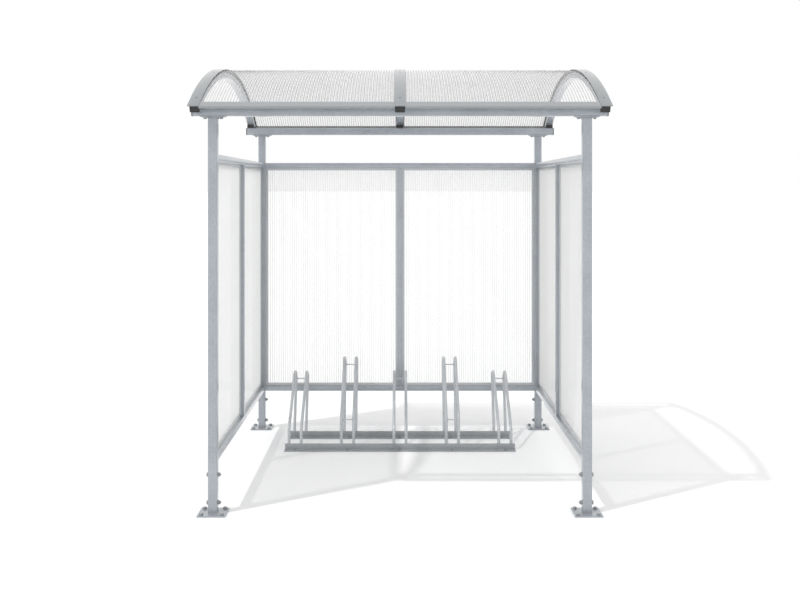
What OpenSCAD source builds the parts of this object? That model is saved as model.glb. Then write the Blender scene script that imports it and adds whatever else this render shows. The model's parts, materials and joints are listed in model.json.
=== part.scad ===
/* [Frame] */
// Distance between post centres across the front
bay_w = 2000; // [1700:10:3000]
// Distance between post centres front to back
bay_d = 2000; // [1600:10:2600]
// Height of the beams' undersides above the ground
clear_h = 2125; // [2000:5:2600]
// Side of the square post tube
post_w = 50; // [40:1:80]
// Wall of the post tube
post_wall = 3; // [2:0.5:4]
// Side of the square beam tube
beam_w = 50; // [40:1:80]
// Wall of the beam tube
beam_wall = 3; // [2:0.5:4]
// Length of each beam past the post centres
beam_over = 113; // [100:1:220]
// Thickness of the end caps on tubes
cap_t = 6; // [3:0.5:8]
// Depth of the caps' plugs inside the tubes
plug_l = 20; // [10:1:40]
// Distance of the outer arches from the beams' ends
arch_inset = 7; // [0:1:60]

/* [Feet] */
// Side of the square base plate
plate_w = 150; // [140:1:200]
// Thickness of the base plate
plate_t = 8; // [6:1:15]
// Distance between anchor holes on the base plate
anchor_pitch = 110; // [100:1:125]
// Diameter of the anchor holes
anchor_d = 14; // [8:1:18]
// Height of the spigot inside the post foot
spigot_h = 260; // [240:5:400]
// Height of the lower cross bolt
bolt_low_z = 58; // [40:1:90]
// Height of the upper cross bolt
bolt_high_z = 207; // [150:1:230]
// Diameter of the cross bolt holes
bolt_d = 13; // [9:1:16]
// Length of the head plate on each post
head_l = 138; // [130:1:180]
// Thickness of the head plate
head_t = 8; // [5:0.5:12]
// Length of the taper at each end of the head plate
head_taper = 19; // [5:1:20]
// Distance of the head plate's bolts from the post centre
head_bolt_x = 44; // [42:1:50]
// Diameter of the head plate's bolt holes
head_bolt_d = 11; // [8:1:13]

/* [Roof] */
// Inner radius of the bent arch tube
arch_r = 2249; // [2000:1:3200]
// Width of the arch tube
arch_w = 50; // [40:1:80]
// Height of the arch tube
arch_h = 35; // [30:1:60]
// Wall of the arch tube
arch_wall = 2.5; // [2:0.5:4]
// Length of the arch past the beam's outer face, along the arch
arch_over = 76; // [60:1:160]
// Thickness of the end caps on the arches
arch_cap_t = 3; // [2:0.5:6]
// Rim of the arches' end caps past the tube's faces
arch_cap_rim = 1.5; // [0:0.1:1.8]
// Thickness of the twin-wall sheets
sheet_t = 10; // [6:1:16]
// Gap between the two roof sheets over the middle arch
sheet_gap = 10; // [8:1:20]
// Thickness of the seal between arch and sheet
seal_t = 3.4; // [2:0.1:6]
// Thickness of the gasket between sheet and cover strip
gasket_t = 1.4; // [1.3:0.1:3]
// Width of each gasket
gasket_w = 14; // [8:1:18]
// Width of the cover strip over each arch
strip_w = 62; // [58:1:100]
// Thickness of the cover strip
strip_t = 3; // [2:0.5:5]
// Length of the cover strips and eaves past the arch ends
eave_over = 31; // [20:1:60]
// Length of the eave profile's upper flange
eave_flange = 55; // [45:1:80]
// Wall of the eave profile
eave_wall = 1.3; // [1:0.1:1.3]

/* [Walls] */
// Height of the underside of the lower rails
rail_low_z = 272; // [150:1:500]
// Height of the top of the upper rails
rail_high_z = 1922; // [1400:1:1950]
// Height of the rail tube
rail_h = 35; // [30:1:50]
// Depth of the rail tube through the wall
rail_d = 40; // [24:1:50]
// Width of the mullion in the middle of each wall
mullion_w = 30; // [24:1:60]
// Wall of the rail and mullion tubes
rail_wall = 2; // [1.5:0.5:3]
// Face width of the glazing profile around each sheet
bead_w = 18; // [14:1:30]
// Depth of the glazing profile through the wall
bead_d = 20; // [18:0.5:24]
// Thickness of the glazing profile's inner lip
bead_lip = 7; // [4:0.5:9]
// Clearance of each sheet in its profile
sheet_play = 0.25; // [0.1:0.05:0.3]
// Web of the glazing profile behind each sheet's edge
web_t = 2; // [1.5:0.1:3]

/* [Rack] */
// Distance between bicycle places
place_pitch = 350; // [300:5:440]
// Number of bicycle places
places = 5; // [3:2:5]
// Distance between the two hoops of one place
hoop_gap = 82; // [60:1:120]
// Diameter of the hoop tube
hoop_d = 20; // [14:1:26]
// Diameter of the cross rods
rod_d = 8; // [6:1:12]
// Height of the low hoops' bend centre
low_z = 375; // [320:1:500]
// Extra height of the high hoops
high_lift = 100; // [40:1:200]
// Height of the lower rod of a high place
low_rod_z = 196; // [150:1:200]
// Height of the rail's upright leg
angle_h = 40; // [30:1:60]
// Width of the rail's leg on the ground
angle_w = 64; // [50:1:90]
// Thickness of the rail's legs
angle_t = 4; // [3:0.5:6]
// Distance from the rear post line forward to the rear rail's face
rack_back = 276; // [240:1:500]
// Distance between the two rails' faces
rail_pitch = 355; // [300:1:450]
// Diameter of the rack's anchor holes
rack_hole_d = 12; // [8:1:14]
// Length of the rails past the outer places
rail_over = 66; // [52:1:120]
// Bend radius at the top of each hoop
hoop_bend_r = 65; // [50:1:80]
// Bend radius at the foot of each hoop's slope
knee_r = 60; // [40:1:80]
// Distance of the top bend's centre behind the rear rail
hoop_reach = 86; // [70:1:100]
// Height of the low hoops' lower corner
knee_z = 130; // [110:1:180]

/* [Hidden] */

EPS = 0.01;
BIG = 4 * arch_r;
ARC_FN = 720;
seat_gap = 0.3;
skin = 0.15;

post_x = bay_w / 2;
post_y = bay_d / 2;
post_z0 = plate_t;
post_z1 = clear_h - head_t;
post_bore = post_w - 2 * post_wall;
spigot_w = post_bore - 2 * seat_gap;
spigot_wall = 4;

beam_top = clear_h + beam_w;
beam_half = post_x + beam_over - cap_t;
arch_x = beam_half + cap_t - arch_w / 2 - arch_inset;
arches_x = [-arch_x, 0, arch_x];

// The arch's centre is below the floor of the roof, on the shelter's middle line.
seat_y = post_y + beam_w / 2;
arch_cz = beam_top - sqrt(arch_r * arch_r - seat_y * seat_y) + seat_gap;
arch_r1 = arch_r + arch_h;
seal_r1 = arch_r1 + seal_t;
sheet_r0 = seal_r1 + skin;
sheet_r1 = sheet_r0 + sheet_t;
gasket_r0 = sheet_r1 + skin;
strip_r0 = gasket_r0 + gasket_t;
strip_r1 = strip_r0 + strip_t;

// Lengths along the arch: the sheets and the seals end short, and the sheets have room in the eave.
sheet_set = 2;
seal_set = 1;
nose_gap = 2;
// Set in or out along X: the sheets' ends, the gaskets, the eaves' flanges and noses.
sheet_inset = 5;
gasket_inset = 3;
flange_over = 1;
nose_play = 3;
// The arch seats are set in from the arch's sides and from the beam's inner face.
seat_inset_x = 1;
seat_inset_y = 10;
// Share of the head plate's thickness that its tapered ends leave.
head_lip = 0.7;

// Angles are measured from straight up, and arc lengths become angles at the arch's outer radius.
function arc(length) = length / arch_r1 * 180 / PI;
seat_a = asin(seat_y / arch_r);
arch_a = seat_a + arc(arch_over) - arc(arch_cap_t);
cap_a = arch_a + arc(arch_cap_t);
edge_a = arch_a + arc(arch_cap_t + eave_over);
flange_a = edge_a - arc(eave_flange);
sheet_a = arch_a - arc(sheet_set);
nose_a = sheet_a + arc(nose_gap);
seal_a = flange_a - arc(seal_set);

rail_x = post_x - post_w / 2;
rail_y = post_y - post_w / 2;
open_z0 = rail_low_z + rail_h;
open_z1 = rail_high_z - rail_h;
slot_t = sheet_t + 2 * sheet_play;
rear_rail_y = post_y - rack_back;
front_rail_y = rear_rail_y - rail_pitch;
hoop_y = angle_t + hoop_d / 2 + seat_gap;
// The tube swells by this much where it is bent.
bend_swell = 0.3;
hoop_top_y = rear_rail_y + hoop_reach;
rack_half = (places - 1) / 2 * place_pitch + rail_over;
// The lower corner of a high hoop rises by this share of its extra height.
knee_rise = 0.75;
// The upper rod lies this far round the top bend, from the rear.
upper_rod_a = 6;

module tube_x(length, w, h, wall) {
    difference() {
        cube([length, w, h], center = true);
        cube([length + 1, w - 2 * wall, h - 2 * wall], center = true);
    }
}

module tube_z(w, d, h, wall) {
    difference() {
        translate([-w / 2, -d / 2, 0]) cube([w, d, h]);
        translate([-w / 2 + wall, -d / 2 + wall, -1]) cube([w - 2 * wall, d - 2 * wall, h + 2]);
    }
}

// A wedge of the plane between two angles from straight up, both under 80 degrees.
module wedge(a0, a1) {
    polygon([
        [0, 0],
        [BIG * sin(a0), BIG * cos(a0)],
        [BIG * sin(a1), BIG * cos(a1)]
    ]);
}

module ring_sector(r0, r1, a0, a1) {
    intersection() {
        difference() {
            circle(r = r1, $fn = ARC_FN);
            circle(r = r0, $fn = ARC_FN);
        }
        wedge(a0, a1);
    }
}

// A curved bar between two radii and two angles, from one X to another, about the arch's axis.
module curved_bar(r0, r1, a0, a1, x0, x1) {
    translate([x0, 0, arch_cz])
        rotate([90, 0, 90])
            linear_extrude(height = x1 - x0) ring_sector(r0, r1, a0, a1);
}

module both_ends() {
    children();
    mirror([0, 1, 0]) children();
}

module foot(sx, sy) {
    color("lightgray") translate([sx * post_x, sy * post_y, 0]) difference() {
        union() {
            translate([-plate_w / 2, -plate_w / 2, 0]) cube([plate_w, plate_w, plate_t]);
            translate([0, 0, plate_t - EPS])
                tube_z(spigot_w, spigot_w, spigot_h + EPS, spigot_wall);
        }
        for (hx = [-1, 1], hy = [-1, 1])
            translate([hx * anchor_pitch / 2, hy * anchor_pitch / 2, -1])
                cylinder(h = plate_t + 2, d = anchor_d, $fn = 48);
        for (z = [bolt_low_z, bolt_high_z])
            translate([-post_w, 0, z]) rotate([0, 90, 0])
                cylinder(h = 2 * post_w, d = bolt_d, $fn = 48);
    }
}

// The outline of the head plate seen from the front: its ends are tapered upwards.
module head_outline() {
    polygon([
        [-head_l / 2 + head_taper, 0],
        [head_l / 2 - head_taper, 0],
        [head_l / 2, head_t * head_lip],
        [head_l / 2, head_t],
        [-head_l / 2, head_t],
        [-head_l / 2, head_t * head_lip]
    ]);
}

// A square tube with a plate welded on its top, which the beam lies on.
module post(sx, sy) {
    color("silver") translate([sx * post_x, sy * post_y, 0]) difference() {
        union() {
            translate([0, 0, post_z0])
                tube_z(post_w, post_w, post_z1 - post_z0 + EPS, post_wall);
            translate([0, post_w / 2, post_z1]) rotate([90, 0, 0])
                linear_extrude(height = post_w) head_outline();
        }
        for (z = [bolt_low_z, bolt_high_z])
            translate([-post_w, 0, z]) rotate([0, 90, 0])
                cylinder(h = 2 * post_w, d = bolt_d, $fn = 48);
        for (s = [-1, 1])
            translate([s * head_bolt_x, 0, post_z1 - 1])
                cylinder(h = head_t + 2, d = head_bolt_d, $fn = 48);
    }
}

module beam(sy) {
    color("silver") translate([0, sy * post_y, clear_h + beam_w / 2]) difference() {
        tube_x(2 * beam_half, beam_w, beam_w, beam_wall);
        for (sx = [-1, 1], s = [-1, 1])
            translate([sx * post_x + s * head_bolt_x, 0, -beam_w])
                cylinder(h = 2 * beam_w, d = head_bolt_d, $fn = 48);
    }
}

module beam_end_cap(sx, sy) {
    plug_w = beam_w - 2 * beam_wall - 2 * seat_gap;
    translate([sx * beam_half, sy * post_y, clear_h + beam_w / 2]) union() {
        translate([sx * cap_t / 2, 0, 0]) cube([cap_t, beam_w, beam_w], center = true);
        translate([-sx * (plug_l / 2 - EPS), 0, 0]) cube([plug_l, plug_w, plug_w], center = true);
    }
}

module arch_end_cap(x) {
    play = arch_wall + seat_gap;
    curved_bar(
        arch_r - arch_cap_rim, arch_r1 + arch_cap_rim, arch_a, cap_a,
        x - arch_w / 2 - arch_cap_rim, x + arch_w / 2 + arch_cap_rim
    );
    curved_bar(
        arch_r + play, arch_r1 - play, arch_a - arc(plug_l), arch_a + arc(EPS),
        x - arch_w / 2 + play, x + arch_w / 2 - play
    );
}

module tube_end_caps() {
    color("dimgray") {
        for (sx = [-1, 1], sy = [-1, 1]) beam_end_cap(sx, sy);
        for (x = arches_x) both_ends() arch_end_cap(x);
    }
}

module arch(x) {
    color("silver") difference() {
        curved_bar(arch_r, arch_r1, -arch_a, arch_a, x - arch_w / 2, x + arch_w / 2);
        curved_bar(
            arch_r + arch_wall, arch_r1 - arch_wall, -arch_a - 1, arch_a + 1,
            x - arch_w / 2 + arch_wall, x + arch_w / 2 - arch_wall
        );
    }
}

// Wedge-shaped blocks between the flat beam tops and the curved arches.
module arch_seats() {
    seat_w = arch_w - 2 * seat_inset_x;
    color("dimgray") for (x = arches_x) both_ends() intersection() {
        translate([x - seat_w / 2, post_y - beam_w / 2, beam_top])
            cube([seat_w, beam_w - seat_inset_y, beam_w]);
        translate([x - arch_w, 0, arch_cz]) rotate([0, 90, 0])
            cylinder(h = 2 * arch_w, r = arch_r - seat_gap, $fn = ARC_FN);
    }
}

// Seals below the sheets, and two thin gaskets above them under each cover strip's edges.
module roof_seals() {
    edge = strip_w / 2 - gasket_inset;
    color("dimgray") for (x = arches_x) {
        curved_bar(arch_r1 + skin, seal_r1, -seal_a, seal_a, x - arch_w / 2, x + arch_w / 2);
        for (x0 = [x - edge, x + edge - gasket_w])
            curved_bar(gasket_r0, strip_r0 - skin, -seal_a, seal_a, x0, x0 + gasket_w);
    }
}

module roof_sheet(sx) {
    x0 = sheet_gap / 2;
    x1 = arch_x + arch_w / 2 - sheet_inset;
    color("whitesmoke", 0.5)
        curved_bar(sheet_r0, sheet_r1, -sheet_a, sheet_a, sx > 0 ? x0 : -x1, sx > 0 ? x1 : -x0);
}

// A folded profile that closes the sheets' lower edge; its nose is cut away at each arch.
module eave_profile(sy) {
    half = arch_x + strip_w / 2 + flange_over;
    bay_x0 = arch_w / 2 + nose_play;
    bay_x1 = arch_x - arch_w / 2 - nose_play;
    lower_r0 = sheet_r0 - skin - eave_wall;
    upper_r1 = strip_r0 - skin;
    upper_r0 = upper_r1 - eave_wall;
    color("gainsboro") mirror([0, sy > 0 ? 0 : 1, 0]) union() {
        curved_bar(upper_r0, upper_r1, flange_a, edge_a, -half, half);
        for (s = [-1, 1]) {
            x0 = s > 0 ? bay_x0 : -bay_x1;
            x1 = s > 0 ? bay_x1 : -bay_x0;
            difference() {
                curved_bar(lower_r0, upper_r1, flange_a, edge_a, x0, x1);
                curved_bar(sheet_r0 - skin, upper_r0, flange_a - 1, nose_a, x0 - 1, x1 + 1);
                curved_bar(
                    sheet_r0 - skin, upper_r0, nose_a + arc(eave_wall), edge_a - arc(eave_wall),
                    x0 - 1, x1 + 1
                );
            }
        }
    }
}

module cover_strip(x) {
    color("lightgray")
        curved_bar(strip_r0, strip_r1, -edge_a, edge_a, x - strip_w / 2, x + strip_w / 2);
}

// Wall parts are drawn along X, centred on Y = 0, and then put on the side they belong to.
module place_wall(side) {
    if (side == "rear") translate([0, post_y, 0]) children();
    if (side == "left") translate([-post_x, 0, 0]) rotate([0, 0, 90]) children();
    if (side == "right") translate([post_x, 0, 0]) rotate([0, 0, -90]) children();
}

function wall_half(side) = side == "rear" ? rail_x : rail_y;

module wall_rail(side, z) {
    color("silver") place_wall(side) translate([0, 0, z + rail_h / 2])
        tube_x(2 * wall_half(side), rail_d, rail_h, rail_wall);
}

module wall_mullion(side) {
    color("silver") place_wall(side) translate([0, 0, open_z0])
        tube_z(mullion_w, rail_d, open_z1 - open_z0, rail_wall);
}

module in_bays(side) {
    half = wall_half(side);
    for (s = [-1, 1]) translate([s * (half + mullion_w / 2) / 2, 0, (open_z0 + open_z1) / 2])
        children();
}

module glazing_frames(side) {
    w = wall_half(side) - mullion_w / 2;
    h = open_z1 - open_z0;
    color("gainsboro") place_wall(side) in_bays(side)
        translate([0, rail_d / 2 - bead_d / 2, 0]) difference() {
            cube([w, bead_d, h], center = true);
            cube([w - 2 * bead_w, bead_d + 1, h - 2 * bead_w], center = true);
            translate([0, -bead_d / 2 + bead_lip + slot_t / 2, 0])
                cube([w - 2 * web_t, slot_t, h - 2 * web_t], center = true);
        }
}

module wall_sheets(side) {
    w = wall_half(side) - mullion_w / 2 - 2 * (web_t + sheet_play);
    h = open_z1 - open_z0 - 2 * (web_t + sheet_play);
    color("whitesmoke", 0.5) place_wall(side) in_bays(side)
        translate([0, rail_d / 2 - bead_d + bead_lip + slot_t / 2, 0])
            cube([w, sheet_t, h], center = true);
}

// An angle section lying on the ground: one leg flat towards the front, one upright at the back.
module rack_rail(y) {
    color("silver") difference() {
        translate([-rack_half, 0, 0]) rotate([90, 0, 90]) linear_extrude(height = 2 * rack_half)
            polygon([
                [y - angle_w, 0],
                [y + angle_t, 0],
                [y + angle_t, angle_h],
                [y, angle_h],
                [y, angle_t],
                [y - angle_w, angle_t]
            ]);
        for (i = [0 : places - 1])
            translate([place_x(i), y - angle_w / 2, -1])
                cylinder(h = angle_t + 2, d = rack_hole_d, $fn = 48);
    }
}

function place_x(i) = (i - (places - 1) / 2) * place_pitch;

// A straight round bar in the plane of one hoop, from one [y, z] to another.
module bar_yz(a, b, d) {
    run = b - a;
    translate([0, a[0], a[1]]) rotate([-atan2(run[0], run[1]), 0, 0])
        cylinder(h = norm(run), d = d, $fn = 32);
}

// A round bar bent about the point c, between two angles from the Y axis.
module bend_yz(c, r, a0, a1, d) {
    translate([0, c[0], c[1]]) rotate([90, 0, 90]) rotate([0, 0, a0])
        rotate_extrude(angle = a1 - a0, $fn = 96)
            translate([r, 0]) circle(d = d + bend_swell, $fn = 32);
}

// One bent tube: an upright foot, a long slope, a round bend at the top and the leg behind.
module hoop(lift) {
    top = [hoop_top_y, low_z + lift];
    corner = [front_rail_y + hoop_y, knee_z + knee_rise * lift];
    heel = [rear_rail_y + hoop_y, 0];
    front_a = 360 + tangent_angle(corner, top, hoop_bend_r, 1);
    rear_a = tangent_angle(heel, top, hoop_bend_r, -1);
    front_t = top + hoop_bend_r * [cos(front_a), sin(front_a)];
    rear_t = top + hoop_bend_r * [cos(rear_a), sin(rear_a)];
    // The slope leaves the upright foot at this angle, through a bend of its own.
    lean = 180 - front_a;
    turn = knee_r * tan(lean / 2);
    slope = [sin(lean), cos(lean)];
    rear_leg = (rear_t - heel) / norm(rear_t - heel);
    // The straight lengths reach this far into the bends.
    lap = 1;
    bar_yz([corner[0], 0], corner - [0, turn - lap], hoop_d);
    bend_yz(corner + [knee_r, -turn], knee_r, 180 - lean, 180, hoop_d);
    bar_yz(corner + (turn - lap) * slope, front_t + lap * slope, hoop_d);
    bend_yz(top, hoop_bend_r, rear_a, front_a, hoop_d);
    difference() {
        bar_yz(heel - hoop_d * rear_leg, rear_t + lap * rear_leg, hoop_d);
        translate([-hoop_d, heel[0] - 2 * hoop_d, -2 * hoop_d])
            cube([2 * hoop_d, 4 * hoop_d, 2 * hoop_d]);
    }
}

function tangent_angle(p, c, r, side) =
    atan2(p[1] - c[1], p[0] - c[0]) - side * acos(r / norm(p - c));

// The upper rod meets the top bend's outer side.
function upper_rod(lift) =
    [hoop_top_y + hoop_bend_r * cos(upper_rod_a), low_z + lift + hoop_bend_r * sin(upper_rod_a)];

// Every second place is a high one, and has another rod low down at the front.
module rack_stand(i) {
    high = i % 2 == 0;
    lift = high ? high_lift : 0;
    rods = high ? [upper_rod(lift), [front_rail_y + hoop_y, low_rod_z]] : [upper_rod(lift)];
    rod_l = hoop_gap - hoop_d - bend_swell - 2 * seat_gap;
    color("lightgray") translate([place_x(i - 1), 0, 0]) {
        for (s = [-1, 1]) translate([s * hoop_gap / 2, 0, 0]) hoop(lift);
        for (p = rods) translate([0, p[0], p[1]]) rotate([0, 90, 0])
            cylinder(h = rod_l, d = rod_d, center = true, $fn = 32);
    }
}

foot(-1, -1);  // foot_front_left
foot(1, -1);  // foot_front_right
foot(-1, 1);  // foot_rear_left
foot(1, 1);  // foot_rear_right
post(-1, -1);  // post_front_left
post(1, -1);  // post_front_right
post(-1, 1);  // post_rear_left
post(1, 1);  // post_rear_right
beam(-1);  // front_beam
beam(1);  // rear_beam
tube_end_caps();
arch(-arch_x);  // arch_left
arch(0);  // arch_middle
arch(arch_x);  // arch_right
arch_seats();
roof_seals();
roof_sheet(-1);  // roof_sheet_left
roof_sheet(1);  // roof_sheet_right
eave_profile(-1);  // eave_profile_front
eave_profile(1);  // eave_profile_rear
cover_strip(-arch_x);  // cover_strip_left
cover_strip(0);  // cover_strip_middle
cover_strip(arch_x);  // cover_strip_right
wall_rail("left", open_z1);  // left_top_rail
wall_rail("left", rail_low_z);  // left_bottom_rail
wall_mullion("left");  // left_mullion
wall_rail("right", open_z1);  // right_top_rail
wall_rail("right", rail_low_z);  // right_bottom_rail
wall_mullion("right");  // right_mullion
wall_rail("rear", open_z1);  // rear_top_rail
wall_rail("rear", rail_low_z);  // rear_bottom_rail
wall_mullion("rear");  // rear_mullion
glazing_frames("left");  // left_glazing_frames
glazing_frames("right");  // right_glazing_frames
glazing_frames("rear");  // rear_glazing_frames
wall_sheets("left");  // left_wall_sheets
wall_sheets("right");  // right_wall_sheets
wall_sheets("rear");  // rear_wall_sheets
rack_rail(front_rail_y);  // rack_front_rail
rack_rail(rear_rail_y);  // rack_rear_rail
for (i = [1 : places])
    rack_stand(i);
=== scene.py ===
"""Finishes and fine pieces for an open-fronted bicycle shelter with a ground rack, in metres."""

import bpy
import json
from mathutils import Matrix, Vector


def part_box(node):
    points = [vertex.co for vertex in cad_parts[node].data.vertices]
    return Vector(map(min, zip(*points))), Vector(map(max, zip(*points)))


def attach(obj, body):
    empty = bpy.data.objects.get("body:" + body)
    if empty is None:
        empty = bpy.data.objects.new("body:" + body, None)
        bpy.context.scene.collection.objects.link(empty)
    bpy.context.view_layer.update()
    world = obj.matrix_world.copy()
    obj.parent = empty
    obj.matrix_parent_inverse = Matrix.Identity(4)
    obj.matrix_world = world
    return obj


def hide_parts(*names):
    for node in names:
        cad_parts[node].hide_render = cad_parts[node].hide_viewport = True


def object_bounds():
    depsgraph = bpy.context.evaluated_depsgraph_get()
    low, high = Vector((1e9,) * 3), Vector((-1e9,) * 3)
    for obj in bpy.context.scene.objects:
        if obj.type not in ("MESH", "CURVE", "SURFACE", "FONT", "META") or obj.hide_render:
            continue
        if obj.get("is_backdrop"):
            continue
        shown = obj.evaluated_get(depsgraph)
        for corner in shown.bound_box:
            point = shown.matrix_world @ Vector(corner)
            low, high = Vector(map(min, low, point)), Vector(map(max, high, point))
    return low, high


bl_info = {
    "name": "Bicycle Shelter",
    "version": (1, 0, 0),
    "blender": (4, 5, 0),
    "location": "View3D > Sidebar > Shelter",
    "description": "Builds the tubes, sheets, fasteners and finishes of a bicycle shelter",
    "category": "Object",
}

import json
import math

import bmesh
import bpy
from mathutils import Vector

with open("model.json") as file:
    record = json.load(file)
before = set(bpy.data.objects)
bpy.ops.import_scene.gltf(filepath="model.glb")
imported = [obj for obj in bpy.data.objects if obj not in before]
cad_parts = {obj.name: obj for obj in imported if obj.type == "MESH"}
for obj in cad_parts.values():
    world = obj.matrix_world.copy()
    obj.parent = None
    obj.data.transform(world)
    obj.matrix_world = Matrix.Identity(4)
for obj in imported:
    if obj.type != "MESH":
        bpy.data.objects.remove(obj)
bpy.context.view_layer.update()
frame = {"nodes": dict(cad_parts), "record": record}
NODES = frame["nodes"]

X, Y, Z = Vector((1, 0, 0)), Vector((0, 1, 0)), Vector((0, 0, 1))
SIDES = {"left": -1, "right": 1}
ENDS = {"front": -1, "rear": 1}
ARCHES = ("left", "middle", "right")
WALLS = ("left", "right", "rear")


# ---------------------------------------------------------------- settings


def length(name, description, default):
    """A length in metres with its meaning."""
    return bpy.props.FloatProperty(
        name=name, description=description, default=default,
        min=0.0, subtype="DISTANCE", unit="LENGTH", precision=4,
    )


def number(name, description, default):
    """A plain number with its meaning."""
    return bpy.props.FloatProperty(name=name, description=description, default=default, min=0.0, precision=3)


def count(name, description, default):
    """A whole number with its meaning."""
    return bpy.props.IntProperty(name=name, description=description, default=default, min=1)


def tone(name, description, default):
    """A colour with its meaning."""
    return bpy.props.FloatVectorProperty(
        name=name, description=description, default=default, size=3, min=0.0, max=1.0, subtype="COLOR"
    )


class TubeSettings(bpy.types.PropertyGroup):
    """Sections of the steel tubes."""

    main_radius: length("Main corner", "Outer corner radius of posts, beams and arches", 0.0045)
    main_wall: length("Main wall", "Wall of posts and beams", 0.003)
    arch_wall: length("Arch wall", "Wall of the arches", 0.0025)
    rail_radius: length("Rail corner", "Outer corner radius of rails and mullions", 0.003)
    rail_wall: length("Rail wall", "Wall of rails and mullions", 0.002)
    post_width: length("Post width", "Side of the square post tube", 0.050)
    head_plate: length("Head plate", "Thickness of the plate on each post", 0.008)
    head_taper: length("Head taper", "Length of the taper at each end of the head plate", 0.019)
    weld: length("Weld", "Radius of the weld beads on the posts", 0.0032)
    corner_steps: count("Corner steps", "Faces round each tube corner", 5)


class RoofSettings(bpy.types.PropertyGroup):
    """Radii and ends of what is bent about the roof's axis."""

    arch_inner: length("Arch inner radius", "Radius of the arches' undersides", 2.249)
    arch_outer: length("Arch outer radius", "Radius of the arches' tops", 2.284)
    sheet_inner: length("Sheet inner radius", "Radius of the sheets' undersides", 2.28755)
    sheet_outer: length("Sheet outer radius", "Radius of the sheets' tops", 2.29755)
    strip_inner: length("Strip inner radius", "Radius of the cover strips' undersides", 2.2991)
    strip_outer: length("Strip outer radius", "Radius of the cover strips' tops", 2.3021)
    arch_cap: length("Arch cap", "Thickness of the caps on the arches", 0.003)
    cap_rim: length("Cap rim", "Rim of the arches' caps past the tube", 0.0015)
    screw_rise: length("Screw rise", "Height of the flat screw heads over the strips", 0.0007)
    bend_steps: count("Bend steps", "Faces along each bent piece", 56)


class SheetSettings(bpy.types.PropertyGroup):
    """The twin-wall sheets."""

    pitch: length("Rib pitch", "Distance between ribs", 0.016)
    web: length("Rib web", "Thickness of each rib at its middle", 0.0009)
    foot: length("Rib foot", "Width of each rib where it meets the skins", 0.0030)
    skin: length("Skin", "Thickness of the outer skins", 0.0005)


class GlazingSettings(bpy.types.PropertyGroup):
    """The profiles that hold the wall sheets."""

    face: length("Face", "Face width of the profile", 0.018)
    web: length("Web", "Thickness behind the sheet's edge", 0.002)
    lip: length("Lip", "Thickness of the inner lip", 0.007)
    slot: length("Slot", "Width of the slot for the sheet", 0.0105)
    edge: length("Edge", "Rounding of the visible edges", 0.0022)


class FastenerSettings(bpy.types.PropertyGroup):
    """Bolts, nuts and screws."""

    anchor: length("Anchor", "Thread diameter of the ground anchors", 0.012)
    cross_bolt: length("Cross bolt", "Thread diameter of the posts' cross bolts", 0.012)
    plate_bolt: length("Plate bolt", "Thread diameter of the head plates' bolts", 0.010)
    rack_bolt: length("Rack bolt", "Thread diameter of the rack's anchors", 0.010)
    screw_head: length("Screw head", "Diameter of the cover strips' screw heads", 0.012)
    anchor_pitch: length("Anchor pitch", "Distance between a foot's anchors", 0.110)
    bolt_low: length("Lower bolt", "Height of the lower cross bolts", 0.058)
    bolt_high: length("Upper bolt", "Height of the upper cross bolts", 0.207)
    plate_reach: length("Plate reach", "Distance of the head plates' bolts from the post's middle", 0.044)


class RackSettings(bpy.types.PropertyGroup):
    """Places and welds of the rack."""

    pitch: length("Place pitch", "Distance between bicycle places", 0.350)
    hoop_gap: length("Hoop gap", "Distance between the two hoops of one place", 0.082)
    hoop: length("Hoop tube", "Diameter of the hoop tube", 0.020)
    rod: length("Rod", "Diameter of the cross rods", 0.008)
    foot_line: length("Hoop line", "Distance of the hoops' axes behind the rails' faces", 0.0143)
    leg: length("Leg", "Width of the rails' legs on the ground", 0.064)
    plate: length("Rail plate", "Thickness of the rails' legs", 0.004)
    weld: length("Rack weld", "Radius of the rack's weld beads", 0.0022)


class FinishSettings(bpy.types.PropertyGroup):
    """Colours of the finishes."""

    steel: tone("Galvanised steel", "Zinc of feet, posts, beams and rails", (0.338, 0.368, 0.402))
    strip: tone("Cover strips", "Zinc of the cover strips", (0.232, 0.249, 0.262))
    rack: tone("Rack rails", "Zinc of the rack's rails", (0.385, 0.405, 0.425))
    hoop: tone("Hoops", "Zinc of the rack's hoops", (0.52, 0.54, 0.56))
    eave: tone("Eaves", "Aluminium of the eave profiles", (0.270, 0.284, 0.296))
    glazing: tone("Glazing", "Aluminium of the glazing profiles", (0.50, 0.515, 0.53))
    roof_sheet: tone("Roof sheets", "Skins and ribs of the roof sheets", (0.60, 0.60, 0.60))
    wall_sheet: tone("Wall sheets", "Skins of the wall sheets", (0.90, 0.90, 0.90))
    wall_rib: tone("Wall ribs", "Ribs of the wall sheets", (0.98, 0.98, 0.98))
    cap: tone("End caps", "Plastic of the end caps", (0.022, 0.022, 0.024))
    seal: tone("Seals", "Rubber of the roof seals", (0.030, 0.030, 0.032))
    bolt: tone("Bolts", "Zinc of bolts, nuts and washers", (0.26, 0.275, 0.29))
    screw: tone("Screws", "Steel of the cover strips' screws", (0.085, 0.088, 0.092))
    weld: tone("Welds", "Zinc over the weld beads", (0.33, 0.355, 0.385))


class StageSettings(bpy.types.PropertyGroup):
    """Camera and light."""

    distance: length("Camera distance", "Distance of the camera in front of the shelter's middle", 6.622)
    height: length("Camera height", "Height of the camera over the ground", 1.741)
    lens: number("Lens", "Focal length in millimetres", 47.25)
    drop: number("Drop", "Share of the image width that the view is shifted down", 0.14)
    sun: number("Sun", "Strength of the soft sun", 1.1)
    sky: number("Sky", "Strength of the even white light", 1.0)


# ---------------------------------------------------------------- node graphs


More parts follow.
